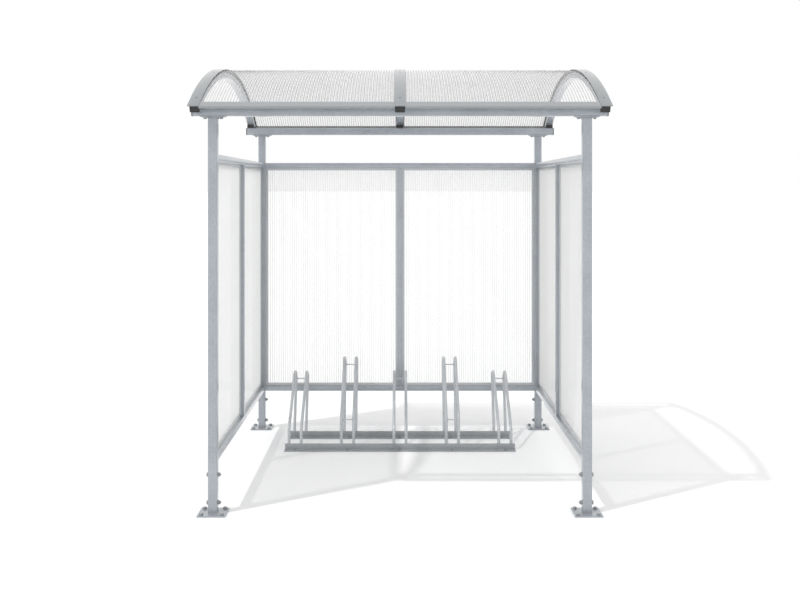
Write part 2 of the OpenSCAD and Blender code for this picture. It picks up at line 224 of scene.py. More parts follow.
class Signal:
    """One socket of a node graph, which adds, subtracts and multiplies like a number."""

    def __init__(self, graph, socket):
        self.graph, self.socket = graph, socket

    def math(self, operation, *values):
        """A math node over the given values."""
        return self.graph.node("ShaderNodeMath", {"operation": operation}, dict(enumerate(values)))

    def __add__(self, other):
        return self.math("ADD", self, other)

    def __sub__(self, other):
        return self.math("SUBTRACT", self, other)

    def __rsub__(self, other):
        return self.math("SUBTRACT", other, self)

    def __mul__(self, other):
        return self.math("MULTIPLY", self, other)

    __radd__ = __add__
    __rmul__ = __mul__

    def clamp(self):
        """This signal held between 0 and 1."""
        return self.graph.node("ShaderNodeClamp", {}, {0: self})


class Graph:
    """A material's nodes, ending in one Principled shader."""

    def __init__(self, name):
        self.material = bpy.data.materials.new(name)
        self.material.use_nodes = True
        self.tree = self.material.node_tree
        self.shader = next(n for n in self.tree.nodes if n.type == "BSDF_PRINCIPLED")
        self.where = self.node("ShaderNodeTexCoord", output="Object")

    def node(self, kind, settings=None, inputs=None, output=0):
        """A new node: its settings first, then its socket values or links."""
        made = self.tree.nodes.new(kind)
        for key, value in (settings or {}).items():
            setattr(made, key, value)
        self.plug(made, inputs or {})
        return Signal(self, made.outputs[output])

    def plug(self, made, inputs):
        """Links signals to a node's sockets and sets the plain values."""
        for key, value in inputs.items():
            if isinstance(value, Signal):
                self.tree.links.new(value.socket, made.inputs[key])
            else:
                made.inputs[key].default_value = value

    def mix(self, mask, first, second):
        """From the first colour at 0 to the second at 1."""
        return self.node("ShaderNodeMix", {"data_type": "RGBA"}, {0: mask, 6: first, 7: second}, 2)

    def stretch(self, by):
        """Object coordinates multiplied axis by axis."""
        return self.node("ShaderNodeVectorMath", {"operation": "MULTIPLY"}, {0: self.where, 1: by})

    def noise(self, scale, detail=2.0, stretch=None):
        """Soft noise between 0 and 1."""
        place = self.stretch(stretch) if stretch else self.where
        return self.node("ShaderNodeTexNoise", {}, {"Vector": place, "Scale": scale, "Detail": detail}, "Fac")

    def cells(self, size):
        """A random value for each crystal of about this size."""
        inputs = {"Vector": self.where, "Scale": 1 / size}
        tint = self.node("ShaderNodeTexVoronoi", {"feature": "F1"}, inputs, "Color")
        return self.node("ShaderNodeSeparateColor", {}, {0: tint}, "Red")

    def bump(self, height, strength, distance):
        """A surface normal from a height signal."""
        values = {"Strength": strength, "Distance": distance, "Height": height}
        return self.node("ShaderNodeBump", {}, values, "Normal")

    def finish(self, **inputs):
        """Plugs the shader's sockets by name and hands back the material."""
        self.plug(self.shader, {key.replace("_", " "): value for key, value in inputs.items()})
        return self.material


DUST = (0.40, 0.40, 0.39, 1.0)


def scaled(colour, factor):
    """A colour times a factor, held at 1."""
    return tuple(min(1.0, c * factor) for c in colour)


def shade(colour, factor):
    """A colour times a factor, with an alpha of 1."""
    return (*scaled(colour, factor), 1.0)


def zinc(name, base, metallic, roughness, contrast=1.0, crystal=0.009):
    """Hot-dip galvanised steel: crystals, cloudy patches and a little dust near the ground."""
    g = Graph(name)
    crystals = g.cells(crystal)
    cloud = g.noise(6.0, 4.0)
    fine = g.noise(260.0, 2.0)
    mask = (0.5 + (crystals - 0.5) * (0.45 * contrast) + (cloud - 0.5) * (1.5 * contrast)).clamp()
    metal = g.mix(mask, shade(base, 0.86), shade(base, 1.13))
    up = g.node("ShaderNodeSeparateXYZ", {}, {0: g.where}, "Z")
    dust = ((0.12 - up) * 5.0).clamp() * (g.noise(35.0, 3.0) * 0.35)
    colour = g.mix(dust, metal, DUST)
    rough = (roughness + (crystals - 0.5) * 0.10 + (cloud - 0.5) * 0.25 + dust * 0.2).clamp()
    height = fine * 0.6 + crystals * 0.4
    normal = g.bump(height, 0.12, 0.0004)
    return g.finish(
        Base_Color=colour, Roughness=rough, Metallic=metallic, Normal=normal,
        Coat_Weight=0.9, Coat_Roughness=0.14,
    )


def extruded(name, base, roughness):
    """Mill-finished aluminium with faint lines along the profile."""
    g = Graph(name)
    lines = g.noise(14.0, 3.0, (1.0, 60.0, 60.0))
    cloud = g.noise(4.0, 3.0)
    mask = (0.5 + (lines - 0.5) * 0.7 + (cloud - 0.5) * 0.6).clamp()
    colour = g.mix(mask, shade(base, 0.90), shade(base, 1.08))
    rough = (roughness + (lines - 0.5) * 0.2).clamp()
    normal = g.bump(lines, 0.10, 0.0003)
    return g.finish(
        Base_Color=colour, Roughness=rough, Metallic=0.4, Coat_Weight=0.9, Coat_Roughness=0.12, Normal=normal
    )


def clear_sheet(name, base, alpha, roughness, along):
    """A milky clear skin with faint drawing lines along the ribs."""
    g = Graph(name)
    lines = g.noise(9.0, 2.0, along)
    cloud = g.noise(2.5, 3.0)
    veil = (alpha + (cloud - 0.5) * 0.03 + (lines - 0.5) * 0.02).clamp()
    colour = g.mix(cloud, shade(base, 0.97), shade(base, 1.03))
    rough = (roughness + (lines - 0.5) * 0.15).clamp()
    normal = g.bump(lines, 0.02, 0.0001)
    return g.finish(Base_Color=colour, Roughness=rough, Alpha=veil, IOR=1.45, Normal=normal)


def moulded(name, base, roughness, grain):
    """Matt plastic or rubber with a fine moulded grain and a dusty bloom."""
    g = Graph(name)
    fine = g.noise(grain, 3.0)
    bloom = g.noise(22.0, 4.0)
    colour = g.mix((bloom * 0.8 + fine * 0.2).clamp(), shade(base, 0.75), shade(base, 1.35))
    rough = (roughness + (bloom - 0.5) * 0.2).clamp()
    return g.finish(Base_Color=colour, Roughness=rough, Normal=g.bump(fine, 0.25, 0.0004))


def make_finishes(c):
    """Every finish by name, from the colour settings. The first thirteen are the record's slots."""
    steel, across_both, across_roof = tuple(c.steel), (80.0, 80.0, 1.0), (80.0, 1.0, 1.0)
    return {
        "foot_steel": zinc("foot_zinc", scaled(steel, 0.95), 0.45, 0.46),
        "post_steel": zinc("post_zinc", steel, 0.45, 0.38),
        "beam_steel": zinc("beam_zinc", steel, 0.45, 0.38),
        "wall_steel": zinc("wall_zinc", scaled(steel, 1.08), 0.45, 0.36),
        "strip_steel": zinc("strip_zinc", c.strip, 0.45, 0.42, 0.7),
        "rack_steel": zinc("rack_zinc", c.rack, 0.40, 0.46),
        "hoop_steel": zinc("hoop_zinc", c.hoop, 0.45, 0.36, 0.8),
        "eave_aluminium": extruded("eave_aluminium", c.eave, 0.38),
        "glazing_aluminium": extruded("glazing_aluminium", c.glazing, 0.30),
        "roof_sheet": clear_sheet("roof_skin", c.roof_sheet, 0.16, 0.14, across_roof),
        "wall_sheet": clear_sheet("wall_skin", c.wall_sheet, 0.135, 0.10, across_both),
        "cap_plastic": moulded("cap_plastic", c.cap, 0.60, 1400.0),
        "seal_rubber": moulded("seal_rubber", c.seal, 0.68, 900.0),
        "roof_rib": clear_sheet("roof_rib", c.roof_sheet, 0.20, 0.40, (1.0, 8.0, 1.0)),
        "wall_rib": clear_sheet("wall_rib", c.wall_rib, 0.88, 0.40, (1.0, 1.0, 8.0)),
        "bolt_zinc": zinc("bolt_zinc", c.bolt, 0.55, 0.38, 0.5, 0.003),
        "screw_steel": zinc("screw_steel", c.screw, 0.60, 0.42, 0.6, 0.003),
        "weld_zinc": zinc("weld_zinc", c.weld, 0.65, 0.50, 0.8, 0.003),
    }


FINISHES = {}
SHEET_CORNER = 0.0012  # rounding of the twin-wall sheets' edges


# ---------------------------------------------------------------- meshes


def outline(w, h, r, steps=4):
    """A rounded rectangle about the middle, as points in order."""
    points = []
    for cx, cy, start in ((1, 1, 0), (-1, 1, 90), (-1, -1, 180), (1, -1, 270)):
        for i in range(steps + 1):
            a = math.radians(start + 90 * i / steps)
            points.append((cx * (w / 2 - r) + r * math.cos(a), cy * (h / 2 - r) + r * math.sin(a)))
    return points


def circle(r, steps, turn=0.0):
    """A regular polygon or circle about the middle."""
    turns = [turn + math.tau * i / steps for i in range(steps)]
    return [(r * math.cos(a), r * math.sin(a)) for a in turns]


def ring(points, origin, u, v):
    """Flat points set in space on two directions."""
    return [origin + u * a + v * b for a, b in points]


def skin_rings(bm, rings, closed=False):
    """Faces between rings of equal count. Gives back the rings' vertices."""
    made = [[bm.verts.new(p) for p in r] for r in rings]
    pairs = list(zip(made, made[1:])) + ([(made[-1], made[0])] if closed else [])
    for a, b in pairs:
        n = len(a)
        for i in range(n):
            bm.faces.new((a[i], a[(i + 1) % n], b[(i + 1) % n], b[i]))
    return made


def bar(bm, rings):
    """A closed solid through rings."""
    made = skin_rings(bm, rings)
    bm.faces.new(list(reversed(made[0])))
    bm.faces.new(made[-1])


def hollow(bm, outer, inner):
    """A closed tube wall between outer and inner rings, with flat ends."""
    a = skin_rings(bm, outer)
    b = skin_rings(bm, inner)
    n = len(a[0])
    for end in (0, -1):
        for i in range(n):
            j = (i + 1) % n
            bm.faces.new((a[end][i], b[end][i], b[end][j], a[end][j]))


def piece(name, bm, finish, replaces=(), sharp=32.0):
    """Turns a bmesh into a named piece that rides on the shelter's body."""
    bmesh.ops.recalc_face_normals(bm, faces=bm.faces)
    limit = math.radians(sharp)
    for face in bm.faces:
        face.smooth = True
    for edge in bm.edges:
        edge.smooth = len(edge.link_faces) == 2 and edge.calc_face_angle(0.0) < limit
    loose = [e for e in bm.edges if len(e.link_faces) != 2]
    if loose:
        raise RuntimeError(f"{name} has {len(loose)} open edges")
    mesh = bpy.data.meshes.new(name)
    bm.to_mesh(mesh)
    bm.free()
    made = bpy.data.objects.new(name, mesh)
    bpy.context.scene.collection.objects.link(made)
    mesh.materials.append(FINISHES[finish])
    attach(made, "root")
    if replaces:
        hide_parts(*replaces)
    return made


def middle(box):
    """The middle of a box."""
    return (box[0] + box[1]) / 2


def straight_tube(bm, box, axis, r, wall, steps):
    """A rounded hollow tube that fills a box along one axis."""
    lo, hi = box
    u, v = {"X": (Y, Z), "Y": (Z, X), "Z": (X, Y)}[axis]
    along = {"X": X, "Y": Y, "Z": Z}[axis]
    size, mid = hi - lo, middle(box)
    w, h, half = size.dot(u), size.dot(v), size.dot(along) / 2
    ends = [mid - along * half, mid + along * half]
    outer = [ring(outline(w, h, r, steps), p, u, v) for p in ends]
    inner = [ring(outline(w - 2 * wall, h - 2 * wall, max(r - wall, 0.0008), steps), p, u, v) for p in ends]
    hollow(bm, outer, inner)


def roof_axis():
    """Height of the line that the whole roof is bent about."""
    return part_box("cover_strip_middle")[1].z - bpy.context.scene.shelter_roof.strip_outer


def bend_ring(points, x, radius, angle):
    """Flat points (across, outward) at one angle from straight up on the bent roof."""
    out = Vector((0, math.sin(angle), math.cos(angle)))
    return ring(points, Vector((x, 0, roof_axis())) + out * radius, X, out)


def end_angle(node, radius):
    """Half the angle that a bent node spans, from its furthest point."""
    return math.asin(min(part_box(node)[1].y / radius, 1.0))


def angles(half, steps):
    """Even angles from minus half to half."""
    return [half * (2 * i / steps - 1) for i in range(steps + 1)]


def weld_bead(bm, path, r, closed=True, ripple=0.0032):
    """A rippled bead along a path."""
    n = len(path)
    rings, run = [], 0.0
    for i, p in enumerate(path):
        before = path[i - 1] if closed or i else p
        after = path[(i + 1) % n] if closed or i < n - 1 else p
        along = (after - before).normalized()
        side = along.orthogonal().normalized() if abs(along.z) > 0.9 else Z.cross(along).normalized()
        up = along.cross(side)
        run += (p - before).length
        swell = r * (0.90 + 0.14 * math.sin(math.tau * run / ripple))
        if not closed and i in (0, n - 1):
            swell *= 0.35
        rings.append(ring(circle(swell, 8), p, side, up))
    if closed:
        skin_rings(bm, rings, closed=True)
    else:
        bar(bm, rings)


def resample(corners, step, closed=True):
    """Points about every step along a polyline."""
    points = []
    n = len(corners)
    for i in range(n if closed else n - 1):
        a, b = corners[i], corners[(i + 1) % n]
        parts = max(1, round((b - a).length / step))
        points += [a.lerp(b, k / parts) for k in range(parts)]
    return points if closed else points + [corners[-1]]


def frame_of(axis):
    """Two directions across an axis."""
    u = axis.orthogonal().normalized()
    return u, axis.cross(u)


def hexagon(bm, base, axis, across, height, chamfer=0.12):
    """A hexagon head or nut standing on base, with its corners turned off at the top."""
    u, v = frame_of(axis)
    r = across / math.sqrt(3)
    six = [(r * math.cos(a), r * math.sin(a)) for a in (math.tau * i / 24 for i in range(24))]
    flat = []
    for i, (px, py) in enumerate(six):
        a = math.tau * i / 24
        reach = (across / 2) / math.cos((a + math.pi / 6) % (math.pi / 3) - math.pi / 6)
        flat.append((reach * math.cos(a), reach * math.sin(a)))
    cut = min(across * 0.5 * (1 - chamfer * 0.3), r)
    top = [(px * cut / math.hypot(px, py), py * cut / math.hypot(px, py)) for px, py in flat]
    rise = height * (1 - chamfer)
    levels = ((flat, 0), (flat, rise), (top, height))
    bar(bm, [ring(points, base + axis * t, u, v) for points, t in levels])


def washer(bm, base, axis, diameter, thickness):
    """A round washer with softened edges, standing on base."""
    u, v = frame_of(axis)
    r, e = diameter / 2, thickness * 0.25
    levels = ((r - e, 0), (r, e), (r, thickness - e), (r - e, thickness))
    bar(bm, [ring(circle(a, 28), base + axis * t, u, v) for a, t in levels])


def stud(bm, base, axis, diameter, height, pitch=0.00175):
    """A threaded end with a chamfer, standing on base."""
    u, v = frame_of(axis)
    rings, turns = [], int(height / pitch)
    for i in range(turns):
        t = i * height / turns
        rings.append(ring(circle(diameter / 2, 20), base + axis * t, u, v))
        rings.append(ring(circle(diameter / 2 * 0.9, 20), base + axis * (t + height / turns / 2), u, v))
    rings.append(ring(circle(diameter / 2 * 0.78, 20), base + axis * height, u, v))
    bar(bm, rings)


def bolt_head(bm, base, axis, d):
    """A washer and a hexagon head for a thread of diameter d."""
    washer(bm, base, axis, 2.0 * d, 0.2 * d)
    hexagon(bm, base + axis * 0.2 * d, axis, 1.58 * d, 0.62 * d)


def nut(bm, base, axis, d, tail=0.45):
    """A washer, a nut and the end of the thread that comes through it."""
    washer(bm, base, axis, 2.0 * d, 0.2 * d)
    hexagon(bm, base + axis * 0.2 * d, axis, 1.58 * d, 0.80 * d)
    stud(bm, base + axis * d, axis, 0.98 * d, tail * d)


# ---------------------------------------------------------------- operators


class ShelterOperator:
    """What the builders share."""

    bl_options = {"REGISTER", "UNDO"}

    def execute(self, context):
        """Builds the operator's pieces, and lets an error stop everything."""
        self.build(context.scene)
        return {"FINISHED"}


class SHELTER_OT_finishes(ShelterOperator, bpy.types.Operator):
    """Make every finish and give the model's own nodes theirs"""

    bl_idname = "shelter.finishes"
    bl_label = "Finishes"

    def build(self, scene):
        FINISHES.clear()
        FINISHES.update(make_finishes(scene.shelter_finishes))
        slots = {row["node"]: row["material_slot"] for row in frame["record"]["subparts"]}
        for name, node in NODES.items():
            for slot in node.material_slots:
                slot.material = FINISHES[slots[name]]


class SHELTER_OT_posts(ShelterOperator, bpy.types.Operator):
    """Build the four posts with their head plates and weld beads"""

    bl_idname = "shelter.posts"
    bl_label = "Posts"
    bead_step = 0.0011  # distance between the weld bead's rings
    edge = 0.0008  # easing of the head plate's edges

    def build(self, scene):
        s = scene.shelter_tubes
        for end in ENDS:
            for side in SIDES:
                name = f"post_{end}_{side}"
                lo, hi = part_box(name)
                mid, half = middle((lo, hi)), s.post_width / 2
                top = hi.z - s.head_plate
                bm = bmesh.new()
                box = (Vector((mid.x - half, mid.y - half, lo.z)), Vector((mid.x + half, mid.y + half, top)))
                straight_tube(bm, box, "Z", s.main_radius, s.main_wall, s.corner_steps)
                self.head_plate(bm, lo, hi, s)
                piece(f"{name}_tube", bm, "post_steel", [name])
                bm = bmesh.new()
                wide = s.post_width + s.weld
                under_plate = Vector((mid.x, mid.y, top - s.weld * 0.5))
                loop = ring(outline(wide, wide, s.main_radius, 4), under_plate, X, Y)
                weld_bead(bm, resample(loop, self.bead_step), s.weld)
                piece(f"{name}_weld", bm, "weld_zinc", sharp=80.0)

    def head_plate(self, bm, lo, hi, s):
        """The plate on the post, tapered upwards at its ends and eased along its edges."""
        mid, half, t = middle((lo, hi)), (hi.x - lo.x) / 2, s.head_plate
        edge, low = self.edge, hi.z - s.head_plate
        side = [
            (-half + s.head_taper, 0), (half - s.head_taper, 0), (half - edge, 0.66 * t), (half, 0.74 * t),
            (half, t - edge), (half - edge, t), (-half + edge, t), (-half, t - edge), (-half, 0.74 * t),
            (-half + edge, 0.66 * t),
        ]
        shrunk = [(x * (1 - edge / half), edge + z * (1 - 2 * edge / t)) for x, z in side]
        rings = []
        for y, points in ((lo.y, shrunk), (lo.y + edge, side), (hi.y - edge, side), (hi.y, shrunk)):
            rings.append(ring(points, Vector((mid.x, y, low)), X, Z))
        bar(bm, rings)


class SHELTER_OT_beams(ShelterOperator, bpy.types.Operator):
    """Build the front and rear beams as rounded tubes"""

    bl_idname = "shelter.beams"
    bl_label = "Beams"

    def build(self, scene):
        s = scene.shelter_tubes
        for end in ENDS:
            bm = bmesh.new()
            straight_tube(bm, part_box(f"{end}_beam"), "X", s.main_radius, s.main_wall, s.corner_steps)
            piece(f"{end}_beam_tube", bm, "beam_steel", [f"{end}_beam"])


class SHELTER_OT_arches(ShelterOperator, bpy.types.Operator):
    """Build the three bent arch tubes"""

    bl_idname = "shelter.arches"
    bl_label = "Arches"

    def build(self, scene):
        s, r = scene.shelter_tubes, scene.shelter_roof
        radius, height = (r.arch_inner + r.arch_outer) / 2, r.arch_outer - r.arch_inner
        for which in ARCHES:
            node = f"arch_{which}"
            lo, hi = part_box(node)
            width, x, half = hi.x - lo.x, middle((lo, hi)).x, end_angle(node, r.arch_outer)
            wall = s.arch_wall
            shape = outline(width, height, s.main_radius, s.corner_steps)
            bore = outline(width - 2 * wall, height - 2 * wall, s.main_radius - wall, s.corner_steps)
            steps = angles(half, r.bend_steps)
            bm = bmesh.new()
            outer, inner = ([bend_ring(flat, x, radius, a) for a in steps] for flat in (shape, bore))
            hollow(bm, outer, inner)
            piece(f"{node}_tube", bm, "beam_steel", [node])


class SHELTER_OT_caps(ShelterOperator, bpy.types.Operator):
    """Build the plastic caps in the ends of beams and arches"""

    bl_idname = "shelter.caps"
    bl_label = "End caps"
    crown = 0.0012  # rounding of a cap's face
    plug_play = 0.0006  # clearance of a plug in its tube
    plug_depth, plug_lead = 0.018, 0.002  # depth of a plug, and its taper at the tip

    def build(self, scene):
        s, r = scene.shelter_tubes, scene.shelter_roof
        bm = bmesh.new()
        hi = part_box("tube_end_caps")[1]
        for end in ENDS:
            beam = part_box(f"{end}_beam")
            size, mid = beam[1] - beam[0], middle(beam)
            for side in SIDES.values():
                face = Vector((beam[1].x if side > 0 else beam[0].x, mid.y, mid.z))
                thick = hi.x - beam[1].x
                self.cap(bm, face, X * side, Y, Z, size.y, size.z, thick, s.main_wall, 0.0, s)
        for which in ARCHES:
            node = f"arch_{which}"
            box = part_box(node)
            x, half = middle(box).x, end_angle(node, r.arch_outer)
            radius, height = (r.arch_inner + r.arch_outer) / 2, r.arch_outer - r.arch_inner
            for side in ENDS.values():
                a = side * half
                out = Vector((0, math.sin(a), math.cos(a)))
                along = Vector((0, math.cos(a), -math.sin(a))) * side
                face, width = Vector((x, 0, roof_axis())) + out * radius, box[1].x - box[0].x
                self.cap(bm, face, along, X, out, width, height, r.arch_cap, s.arch_wall, r.cap_rim, s)
        piece("end_caps", bm, "cap_plastic", ["tube_end_caps"])

    def cap(self, bm, face, along, u, v, w, h, t, wall, rim, s):
        """A rounded head with a slightly crowned face, and the plug behind it."""
        n, e = s.corner_steps, min(self.crown, t * 0.4)
        deep, lead = self.plug_depth, self.plug_lead
        plug = (w - 2 * wall - self.plug_play, h - 2 * wall - self.plug_play)
        w, h = w + 2 * rim, h + 2 * rim
        shapes = [
            (-deep, plug[0] - lead, plug[1] - lead), (lead - deep, *plug), (0, *plug), (0, w, h),
            (t - e, w, h), (t - e * 0.3, w - 0.7 * e, h - 0.7 * e), (t, w - 3 * e, h - 3 * e),
        ]
        rings = []
        for d, a, b in shapes:
            rings.append(ring(outline(a, b, min(s.main_radius, a / 3, b / 3), n), face + along * d, u, v))
        bar(bm, rings)


class SHELTER_OT_rails(ShelterOperator, bpy.types.Operator):
    """Build the rails and mullions of the three walls"""

    bl_idname = "shelter.rails"
    bl_label = "Rails and mullions"

    def build(self, scene):
        s = scene.shelter_tubes
        for wall in WALLS:
            run = "X" if wall == "rear" else "Y"
            for part, axis in (("top_rail", run), ("bottom_rail", run), ("mullion", "Z")):
                bm = bmesh.new()
                straight_tube(bm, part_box(f"{wall}_{part}"), axis, s.rail_radius, s.rail_wall, s.corner_steps)
                piece(f"{wall}_{part}_tube", bm, "wall_steel", [f"{wall}_{part}"])


def wall_bays(wall):
    """Each bay of a wall: its middle, run and outward directions, half width and half height of the frame."""
    frame_box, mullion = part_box(f"{wall}_glazing_frames"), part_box(f"{wall}_mullion")
    run = X if wall == "rear" else Y
    out = {"left": -X, "right": X, "rear": Y}[wall]
    lo, hi = frame_box
    mid, half_h = middle(frame_box), (hi.z - lo.z) / 2
    gap0, gap1 = mullion[0].dot(run), mullion[1].dot(run)
    for start, stop in ((lo.dot(run), gap0), (gap1, hi.dot(run))):
        centre = mid - run * mid.dot(run) + run * ((start + stop) / 2)
        yield centre, run, out, (stop - start) / 2, half_h


class SHELTER_OT_glazing(ShelterOperator, bpy.types.Operator):
    """Build the mitred profiles that hold the wall sheets"""

    bl_idname = "shelter.glazing"
    bl_label = "Glazing profiles"
    bevel = 0.0006  # easing of the profile's outer edge

    def build(self, scene):
        s = scene.shelter_glazing
        for wall in WALLS:
            bm = bmesh.new()
            lo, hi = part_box(f"{wall}_glazing_frames")
            depth = (hi - lo).x if wall != "rear" else (hi - lo).y
            for centre, run, out, half_w, half_h in wall_bays(wall):
                self.mitred(bm, centre, run, out, half_w, half_h, self.profile(s, depth))
            node = f"{wall}_glazing_frames"
            piece(f"{wall}_glazing", bm, "glazing_aluminium", [node], 28.0)

    def profile(self, s, depth):
        """The section as (inward from the opening's edge, outward through the wall), with its slot."""
        d, e, a, b = depth / 2, s.edge, -depth / 2 + s.lip, -depth / 2 + s.lip + s.slot
        return [
            (0, -d), (s.face - 2.4 * e, -d), (s.face - 1.1 * e, -d + 0.35 * e),
            (s.face - 0.3 * e, -d + 1.1 * e), (s.face, -d + 2.2 * e), (s.face, a), (s.web, a),
            (s.web, b), (s.face, b), (s.face, d - self.bevel), (s.face - self.bevel, d), (0, d),
        ]

    def mitred(self, bm, centre, run, out, half_w, half_h, profile):
        """Sweeps the section round a rectangle, with mitred corners."""
        rings = []
        for su, sz in ((-1, -1), (1, -1), (1, 1), (-1, 1)):
            rings.append([
                centre + run * su * (half_w - p) + Z * sz * (half_h - p) + out * q for p, q in profile
            ])
        skin_rings(bm, rings, closed=True)


class SHELTER_OT_wall_sheets(ShelterOperator, bpy.types.Operator):
    """Build the upright twin-wall sheets and their ribs"""

    bl_idname = "shelter.wall_sheets"
    bl_label = "Wall sheets"
    rib_short = 0.001  # how far the ribs stop short of the skins' ends

    def build(self, scene):
        s, g = scene.shelter_sheets, scene.shelter_glazing
        for wall in WALLS:
            skins, ribs = bmesh.new(), bmesh.new()
            lo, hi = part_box(f"{wall}_wall_sheets")
            run_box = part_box(f"{wall}_glazing_frames")
            for centre, run, out, half_w, half_h in wall_bays(wall):
                inset = (lo - run_box[0]).dot(run)
                w, h = half_w - inset, half_h - (lo.z - run_box[0].z)
                place = (middle((lo, hi)) - centre).dot(out)
                thick = abs((hi - lo).dot(out))
                mid = centre + out * place
                levels = (mid - Z * h, mid + Z * h)
                bar(skins, [ring(outline(2 * w, thick, SHEET_CORNER, 2), p, run, out) for p in levels])
                shape = rib_shape(thick, s)
                rib_ends = (levels[0] + Z * self.rib_short, levels[1] - Z * self.rib_short)
                number_of = int(2 * w / s.pitch)
                for i in range(number_of):
                    x = (i - (number_of - 1) / 2) * s.pitch
                    bar(ribs, [ring(shape, p + run * x, run, out) for p in rib_ends])
            piece(f"{wall}_sheet_skins", skins, "wall_sheet", [f"{wall}_wall_sheets"])
            piece(f"{wall}_sheet_ribs", ribs, "wall_rib", sharp=75.0)


def rib_shape(thick, s):
    """A rib's section between the skins: wide at both feet and thin at its middle."""
    h, f, w = thick / 2 - s.skin, s.foot / 2, s.web / 2
    thin = h * 0.72
    return [(f, h), (w, thin), (w, -thin), (f, -h), (-f, -h), (-w, -thin), (-w, thin), (-f, h)]


class SHELTER_OT_roof_sheets(ShelterOperator, bpy.types.Operator):
    """Build the bent twin-wall roof sheets and their ribs"""

    bl_idname = "shelter.roof_sheets"
    bl_label = "Roof sheets"

    def build(self, scene):
        s, r = scene.shelter_sheets, scene.shelter_roof
        radius, thick = (r.sheet_inner + r.sheet_outer) / 2, r.sheet_outer - r.sheet_inner
        for side in SIDES:
            node = f"roof_sheet_{side}"
            lo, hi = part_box(node)
            x, width, half = middle((lo, hi)).x, hi.x - lo.x, end_angle(node, r.sheet_outer)
            skins, ribs = bmesh.new(), bmesh.new()
            shape = outline(width, thick, SHEET_CORNER, 2)
            bar(skins, [bend_ring(shape, x, radius, a) for a in angles(half, r.bend_steps)])
            rib, number_of = rib_shape(thick, s), int(width / s.pitch)
            for i in range(number_of):
                rx = x + (i - (number_of - 1) / 2) * s.pitch
                bar(ribs, [bend_ring(rib, rx, radius, a) for a in angles(half * 0.998, r.bend_steps // 2)])
            piece(f"{node}_skins", skins, "roof_sheet", [node])
            piece(f"{node}_ribs", ribs, "roof_rib", sharp=75.0)


class SHELTER_OT_cover_strips(ShelterOperator, bpy.types.Operator):
    """Build the cover strips over the arches with their flat screws"""

    bl_idname = "shelter.cover_strips"
    bl_label = "Cover strips"
    corner = 0.006  # rounding of a strip's four corners
    edge = 0.0007  # easing of a strip's edges
    corner_rows = (0.0045, 0.003, 0.0015, 0.0006, 0.0)  # rings that draw the corners
    screw_rows = (-1.05, -0.525, 0.0, 0.525, 1.05)  # where the screws stand, front to back
    apart = 1e-5  # rings closer than this are one

    def build(self, scene):
        r, f = scene.shelter_roof, scene.shelter_fasteners
        outer = r.strip_outer - r.screw_rise
        radius, thick = (r.strip_inner + outer) / 2, outer - r.strip_inner
        for which in ARCHES:
            node = f"cover_strip_{which}"
            lo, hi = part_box(node)
            x, width, half = middle((lo, hi)).x, hi.x - lo.x, end_angle(node, r.strip_outer)
            bm = bmesh.new()
            rings = []
            for a in angles(half, 2 * r.bend_steps):
                left = (half - abs(a)) * radius
                rings.append(bend_ring(self.section(width, thick, left), x, radius, a))
            for back in self.corner_rows:
                a = half - back / radius
                for sign in (-1, 1):
                    rings.append(bend_ring(self.section(width, thick, back), x, radius, sign * a))
            rings.sort(key=lambda points: points[0].y)
            kept = [rings[0]] + [b for a, b in zip(rings, rings[1:]) if (b[0] - a[0]).length > self.apart]
            bar(bm, kept)
            piece(f"{node}_bent", bm, "strip_steel", [node])
            bm = bmesh.new()
            for y in self.screw_rows:
                a = math.asin(y / outer)
                self.screw(bm, x, outer, a, f.screw_head / 2, r.screw_rise)
            piece(f"{node}_screws", bm, "screw_steel")

    def section(self, width, thick, left):
        """A strip's section at this distance from its end, narrower where a corner is rounded."""
        c = self.corner
        inset = 0.0 if left > c else c - math.sqrt(max(0.0, c ** 2 - (c - left) ** 2))
        return outline(width - 2 * inset, thick, self.edge, 2)

    def screw(self, bm, x, radius, a, r, rise):
        """A flat head with an eased rim and a six-sided socket."""
        out = Vector((0, math.sin(a), math.cos(a)))
        base, v = Vector((x, 0, roof_axis())) + out * radius, out.cross(X)
        levels = [(r, -0.0006), (r, rise * 0.5), (r - rise, rise), (r * 0.45, rise), (r * 0.42, -0.0004)]
        rings = []
        for i, (reach, t) in enumerate(levels):
            corners = circle(reach, 24) if i < 3 else self.socket(reach)
            rings.append(ring(corners, base + out * t, X, v))
        bar(bm, rings)

    def socket(self, reach):
        """The six-sided outline of a socket, in 24 points."""
        points = []
        for b in (math.tau * k / 24 for k in range(24)):
            flat = math.cos((b % (math.pi / 3)) - math.pi / 6)
            points.append((reach * math.cos(b) / flat * 0.9, reach * math.sin(b) / flat * 0.9))
        return points


